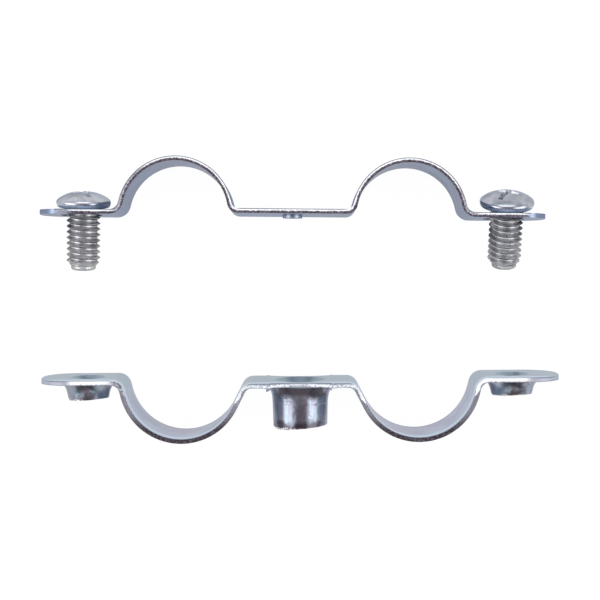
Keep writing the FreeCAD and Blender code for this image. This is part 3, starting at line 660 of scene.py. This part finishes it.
def turnedMesh(mesh, profile, steps):
    # profile of (radius, height) turned about Y and added to the mesh
    rings = []
    for radius, height in profile:
        onAxis = radius < 1e-6
        rings.append([mesh.verts.new((0, height, 0))] if onAxis else ringAbout(mesh, radius, height, steps))
    for first, second in zip(rings[:-1], rings[1:]):
        for k in range(steps):
            following = (k + 1) % steps
            corners = [
                first[k % len(first)], first[following % len(first)],
                second[following % len(second)], second[k % len(second)],
            ]
            mesh.faces.new(list(dict.fromkeys(corners)))   # a corner on the axis counts once


def threadRadius(sizes, share):
    # radius across one pitch, share 0 to 1: crest, flank, root, flank
    crest, root = sizes["crestFlat"] / sizes["pitch"] / 2, sizes["rootFlat"] / sizes["pitch"] / 2
    away = abs(share - 0.5) * 2          # 1 at the crest, 0 at the root
    t = min(1.0, max(0.0, (away - 2 * root) / (1 - 2 * crest - 2 * root)))
    return sizes["crest"] - sizes["depth"] * (1 - t)


def threadedShank(mesh, sizes):
    # a real right hand helix: rows of points follow the thread, and the ends are cut off level
    steps, pitch, length = sizes["turnSteps"], sizes["pitch"], sizes["length"]
    shares = [0.0, 0.05, 0.2, 0.35, 0.41, 0.5, 0.59, 0.65, 0.8, 0.95]
    turns = int(length / pitch) + 3
    rows = []
    for share in shares:
        row = []
        for k in range(turns * steps + 1):
            angle = 2 * math.pi * k / steps
            height = 1.2 * pitch - pitch * (k / steps + share)
            height = min(0.05, max(-length, height))
            radius = threadRadius(sizes, share)
            below = -height - (length - sizes["tipLength"] - sizes["tipChamfer"])
            if below > 0:
                tapered = min(1.0, below / sizes["tipChamfer"])
                radius = min(radius, sizes["crest"] - (sizes["crest"] - sizes["tip"]) * tapered)
            toEnd = length + height
            corner = sizes["tipRound"]
            if toEnd < corner:
                radius -= corner - math.sqrt(max(0.0, corner ** 2 - (corner - toEnd) ** 2))
            row.append(mesh.verts.new((radius * math.cos(angle), height, -radius * math.sin(angle))))
        rows.append(row)
    for index, row in enumerate(rows):
        last = index + 1 == len(rows)
        following = rows[0][steps:] if last else rows[index + 1]
        for k in range(min(len(row), len(following)) - 1):
            mesh.faces.new((row[k], following[k], following[k + 1], row[k + 1]))
    middle = mesh.verts.new((0, -length, 0))
    ring = ringAbout(mesh, sizes["tip"] - sizes["tipRound"], -length, steps)
    for k in range(steps):
        mesh.faces.new((middle, ring[k], ring[(k + 1) % steps]))


def newObject(name, mesh):
    piece = bpy.data.objects.new(name, mesh)
    bpy.context.scene.collection.objects.link(piece)
    return piece


def meshObject(name, build):
    working = bmesh.new()
    build(working)
    bmesh.ops.remove_doubles(working, verts=working.verts, dist=1e-4)
    bmesh.ops.recalc_face_normals(working, faces=working.faces)
    mesh = bpy.data.meshes.new(name)
    working.to_mesh(mesh)
    working.free()
    return newObject(name, mesh)


def recessCutter(mesh, sizes):
    # slot and tapering cross, pointing down into the head
    top = 3.2
    crown = sizes["head"][0][1]

    def wedge(span, width, depth, quarter, shrink):
        corners = []
        for height, scale in ((top, 1.0), (crown - depth, shrink)):
            for sx, sz in ((-1, -1), (1, -1), (1, 1), (-1, 1)):
                px, pz = sx * span / 2 * scale, sz * width / 2 * (1 if scale == 1 else sizes["floorTaper"])
                if quarter:
                    px, pz = -pz, px
                corners.append(mesh.verts.new((px, height, pz)))
        for face in ((3, 2, 1, 0), (4, 5, 6, 7), (0, 1, 5, 4), (1, 2, 6, 5), (2, 3, 7, 6), (3, 0, 4, 7)):
            mesh.faces.new([corners[i] for i in face])

    wedge(sizes["slotSpan"], sizes["slotWidth"], sizes["slotDepth"], False, sizes["slotTaper"])
    wedge(sizes["crossSpan"], sizes["crossWidth"], sizes["crossDepth"], False, sizes["crossTaper"])
    wedge(sizes["crossSpan"], sizes["crossWidth"], sizes["crossDepth"], True, sizes["crossTaper"])


def recessedHead(plan, sizes):
    # the turned head with its drive recess cut in, as a mesh
    head = meshObject(plan["name"] + "Head", lambda mesh: turnedMesh(
        mesh, smoothLine(sizes["head"], 4) + [(2.4, -0.02), (0, -0.02)], 96))
    cutter = meshObject(plan["name"] + "Cutter", lambda mesh: recessCutter(mesh, sizes))
    cutter.data.transform(Matrix.Rotation(-math.radians(plan["slot"]), 4, "Y"))
    cut = head.modifiers.new("recess", "BOOLEAN")
    cut.operation = "DIFFERENCE"
    cut.solver = "EXACT"
    cut.use_self = True
    cut.object = cutter
    bevel = head.modifiers.new("worn", "BEVEL")
    bevel.width = sizes["wornEdge"]
    bevel.segments = 2
    bevel.limit_method = "ANGLE"
    bevel.angle_limit = math.radians(40)
    graph = bpy.context.evaluated_depsgraph_get()
    finished = bpy.data.meshes.new_from_object(head.evaluated_get(graph))
    for helper in (head, cutter):
        bpy.data.objects.remove(helper)
    return finished


def makeScrew(node, plan, sizes, finishes):
    shank = meshObject(plan["name"] + "Shank", lambda mesh: threadedShank(mesh, sizes))
    joined = bmesh.new()
    joined.from_mesh(recessedHead(plan, sizes))
    headFaces = len(joined.faces)
    joined.from_mesh(shank.data)
    bpy.data.objects.remove(shank)
    for index, face in enumerate(joined.faces):
        centre = face.calc_center_median()
        # the head's lower flank gets the third finish, a painted reflection
        onFlank = centre.y < sizes["flankTop"] and math.hypot(centre.x, centre.z) > sizes["crest"]
        face.material_index = 1 if index >= headFaces else 2 if onFlank else 0
    mesh = bpy.data.meshes.new(plan["name"])
    joined.to_mesh(mesh)
    joined.free()
    droop = Matrix.Rotation(math.radians(plan["droop"]), 4, "X")
    turn = Matrix.Rotation(math.radians(plan["yaw"]), 4, "Z") @ droop
    mesh.transform(turn @ Matrix.Scale(mm, 4))
    mesh.shade_smooth()
    mesh.set_sharp_from_angle(angle=math.radians(35))

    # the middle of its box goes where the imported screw's is
    low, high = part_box(node)
    corners = [Vector(v.co) for v in mesh.vertices]
    middle = Vector([(min(c[i] for c in corners) + max(c[i] for c in corners)) / 2 for i in range(3)])
    shift = (low + high) / 2 - middle
    mesh.transform(Matrix.Translation(shift))
    for material in finishes:
        mesh.materials.append(material)
    screw = newObject(plan["name"], mesh)
    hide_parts(node)
    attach(screw, "root")
    print(plan["name"], "made,", len(mesh.polygons), "faces, moved by", [round(v / mm, 2) for v in shift])


# sizes and bump in mm; soot sets in where the grain passes "sootFrom"
zincThread = {
    # rolled thread: grey, satin, with sooty specks
    "dark": "#A3A2A3", "light": "#C6C5C6", "soot": "#7A7270", "grazing": "#A3A2A2",
    "sootFrom": 0.56, "roughness": 0.36, "bump": 0.008,
    "patch": 1.2, "grain": 0.16,
}
zincHead = {
    # cold headed pan: smooth, with a lilac cast
    "dark": "#A2A4AB", "light": "#C2C4CB", "soot": "#84808A", "grazing": "#C8CEDA",
    "sootFrom": 0.66, "roughness": 0.27, "bump": 0.004,
    "patch": 2.2, "grain": 0.20,
}
flankHighlightZinc = {
    # the pan's lower flank is painted near white: a painted reflection of a bright glow from below
    "dark": "#D6E0E6", "light": "#EEF4F6", "soot": "#C4CCD2", "grazing": "#D4DEE4",
    "sootFrom": 0.66, "roughness": 0.45, "bump": 0.004,
    "patch": 2.2, "grain": 0.20,
}


def clearZinc(name, finish, seed):
    # clear zinc on steel: bright, a little cloudy, with dark specks where the steel stays rough
    material, tree = newMaterial(name)
    coordinates = addNode(tree, "TexCoord")
    place = addNode(tree, "VectorMath", [
        coordinates.outputs["Object"], (1000, 1000, 1000),
    ], operation="MULTIPLY")
    clouds = addNode(tree, "TexNoise", {
        "Vector": place, "Scale": 1 / finish["patch"], "Detail": 4.0, "W": seed,
    }, noise_dimensions="4D")
    grain = addNode(tree, "TexNoise", {
        "Vector": place, "Scale": 1 / finish["grain"], "Detail": 3.0, "W": seed,
    }, noise_dimensions="4D")
    shade = addNode(tree, "MapRange", [clouds, 0.35, 0.6], **smooth)
    colour = addNode(tree, "Mix", {
        0: shade, 6: linearColour(finish["dark"]), 7: linearColour(finish["light"]),
    }, **rgba)
    specks = addNode(tree, "MapRange", [grain, finish["sootFrom"], finish["sootFrom"] + 0.12], **smooth)
    colour = addNode(tree, "Mix", {0: specks, 6: colour, 7: linearColour(finish["soot"])}, **rgba)
    rough = addNode(tree, "Math", [clouds, 0.2, finish["roughness"] - 0.1], operation="MULTIPLY_ADD")
    relief = addNode(tree, "Math", [grain, finish["bump"] * mm], operation="MULTIPLY")
    metalSurface(tree, colour, rough, linearColour(finish["grazing"]), relief)
    return material


# drawing leaves each neck flaring wide into the sheet: (radius, depth below the underside)
flares = {
    "bossFlare": {
        "middle": (0.24, 8.04), "under": -14.20,
        "profile": [
            (5.70, 0.0), (5.50, 0.45), (5.28, 0.95), (5.07, 1.5),
            (4.93, 2.1), (4.86, 2.7), (4.82, 3.2),
        ],
    },
    "leftCollarFlare": {
        "middle": (-36.70, 8.05), "under": -13.75,
        "profile": [
            (4.75, 0.0), (4.45, 0.4), (4.15, 0.85), (3.90, 1.35),
            (3.72, 1.9), (3.60, 2.5), (3.56, 2.8),
        ],
    },
    "rightCollarFlare": {
        "middle": (37.10, 8.02), "under": -13.20,
        "profile": [
            (4.75, 0.0), (4.45, 0.4), (4.15, 0.85), (3.90, 1.35),
            (3.72, 1.9), (3.60, 2.4), (3.56, 2.6),
        ],
    },
}
roll = math.atan(baseSheet["tilt"])
for name, flare in flares.items():
    ring = [(radius, -depth) for radius, depth in flare["profile"]]
    inner = flare["profile"][-1][0] - 0.15
    ring = smoothLine(ring, 4) + [(inner, ring[-1][1]), (inner, 0.0), ring[0]]
    piece = meshObject(name, lambda mesh: turnedMesh(mesh, ring, 72))
    # into the base strap's own place: up to the sheet, then rolled with it
    lean = Matrix.Rotation(roll, 4, "X")
    across, upBand = flare["middle"]
    place = Vector((across, 0, 0)) + lean @ Vector((0, flare["under"], upBand)) * math.cos(roll)
    piece.data.transform(Matrix.Translation(place) @ lean)
    piece.data.transform(Matrix.Scale(mm, 4))
    piece.data.shade_smooth()
    piece.data.materials.append(baseZinc)
    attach(piece, "root")
print("flares made")

for node, plan in screwPlaces.items():
    finishes = [
        clearZinc(plan["name"] + "HeadZinc", zincHead, plan["seed"]),
        clearZinc(plan["name"] + "ThreadZinc", zincThread, plan["seed"]),
        clearZinc(plan["name"] + "FlankHighlightZinc", flankHighlightZinc, plan["seed"]),
    ]
    makeScrew(node, plan, screwSizes, finishes)
print("screws made")
